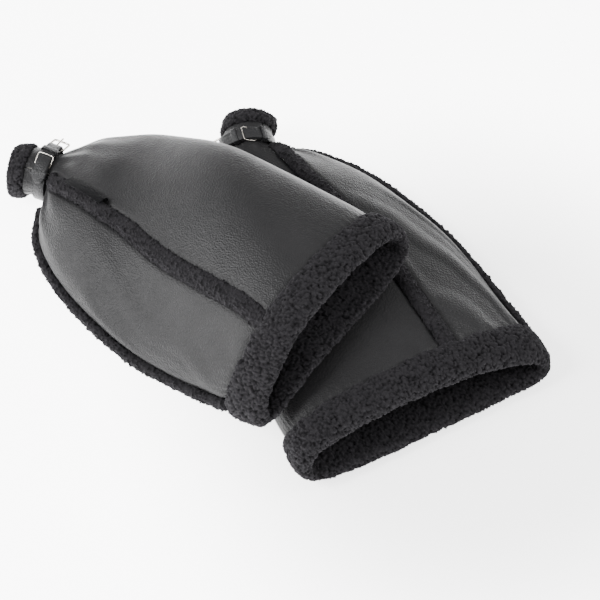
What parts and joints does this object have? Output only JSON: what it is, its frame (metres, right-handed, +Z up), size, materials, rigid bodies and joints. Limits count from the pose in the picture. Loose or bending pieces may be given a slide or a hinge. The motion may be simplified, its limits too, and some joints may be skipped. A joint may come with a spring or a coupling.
{
  "type": "hand warmer muff",
  "caption": "Fleece-lined leather handlebar muffs: tapering soft sleeves with a buckled neck strap, fleece piping and a wide fleece cuff, lying one partly across the other.",
  "frame": {"origin": "centre of the pair's footprint, on the surface it lies on", "axes": "+X from the buckled necks towards the open cuffs, +Y from the left muff towards the right muff, +Z up"},
  "size_m": [0.5359, 0.3461, 0.1233],
  "materials": {
    "faux_leather": "soft matte grain",
    "fleece": "curly pile",
    "wadding": "soft",
    "nickel": "polished",
    "woven_label": "plain weave"
  },
  "bodies": {
    "right_muff": {"right_side_panel": "faux_leather", "right_main_panel": "faux_leather", "right_bottom_panel": "faux_leather", "right_insulation_upper": "wadding", "right_insulation_lower": "wadding", "right_lining_upper": "fleece", "right_lining_lower": "fleece", "right_neck_collar": "fleece", "right_cuff_upper": "fleece", "right_cuff_lower": "fleece", "right_centre_piping": "fleece", "right_side_piping": "fleece", "right_neck_strap": "faux_leather", "right_buckle_chape": "faux_leather", "right_strap_keeper": "faux_leather"},
    "left_muff": {"left_side_panel": "faux_leather", "left_main_panel": "faux_leather", "left_bottom_panel": "faux_leather", "left_insulation_upper": "wadding", "left_insulation_lower": "wadding", "left_lining_upper": "fleece", "left_lining_lower": "fleece", "left_neck_collar": "fleece", "left_cuff_upper": "fleece", "left_cuff_lower": "fleece", "left_centre_piping": "fleece", "left_side_piping": "fleece", "left_neck_strap": "faux_leather", "left_buckle_chape": "faux_leather", "left_strap_keeper": "faux_leather", "left_label_tab": "woven_label"},
    "right_buckle": {"right_buckle_frame": "nickel"},
    "right_prong": {"right_buckle_prong": "nickel"},
    "right_ring": {"right_strap_ring": "nickel"},
    "right_slider": {"right_sliding_keeper": "faux_leather"},
    "left_buckle": {"left_buckle_frame": "nickel"},
    "left_prong": {"left_buckle_prong": "nickel"},
    "left_ring": {"left_strap_ring": "nickel"},
    "left_slider": {"left_sliding_keeper": "faux_leather"}
  },
  "joints": [
    {"name": "left_muff_lift", "type": "slide", "parent": "right_muff", "child": "left_muff", "axis": [0, 0, 1], "range_m": [0, 0.2]},
    {"name": "right_buckle_tilt", "type": "hinge", "parent": "right_muff", "child": "right_buckle", "pos_m": [-0.12863, 0.06163, 0.03978], "axis": [-0.9011, 0.4335, 0], "range_deg": [-15, 25]},
    {"name": "right_prong_tilt", "type": "hinge", "parent": "right_buckle", "child": "right_prong", "pos_m": [-0.12863, 0.06163, 0.03978], "axis": [-0.9011, 0.4335, 0], "range_deg": [-2, 20]},
    {"name": "right_ring_slide", "type": "hinge", "parent": "right_muff", "child": "right_ring", "pos_m": [-0.11515, 0.08257, 0.02217], "axis": [-0.9011, 0.4335, 0], "range_deg": [-3, 3]},
    {"name": "right_keeper_slide", "type": "hinge", "parent": "right_muff", "child": "right_slider", "pos_m": [-0.11266, 0.0835, 0.02447], "axis": [-0.9011, 0.4335, 0], "range_deg": [-4, 4]},
    {"name": "left_buckle_tilt", "type": "hinge", "parent": "left_muff", "child": "left_buckle", "pos_m": [-0.23777, -0.0757, 0.03978], "axis": [0.9031, 0.4294, 0], "range_deg": [-15, 25]},
    {"name": "left_prong_tilt", "type": "hinge", "parent": "left_buckle", "child": "left_prong", "pos_m": [-0.23777, -0.0757, 0.03978], "axis": [0.9031, 0.4294, 0], "range_deg": [-2, 20]},
    {"name": "left_ring_slide", "type": "hinge", "parent": "left_muff", "child": "left_ring", "pos_m": [-0.2241, -0.09651, 0.02218], "axis": [0.9031, 0.4294, 0], "range_deg": [-3, 3]},
    {"name": "left_keeper_slide", "type": "hinge", "parent": "left_muff", "child": "left_slider", "pos_m": [-0.22144, -0.09731, 0.02449], "axis": [0.9031, 0.4294, 0], "range_deg": [-4, 4]}
  ]
}
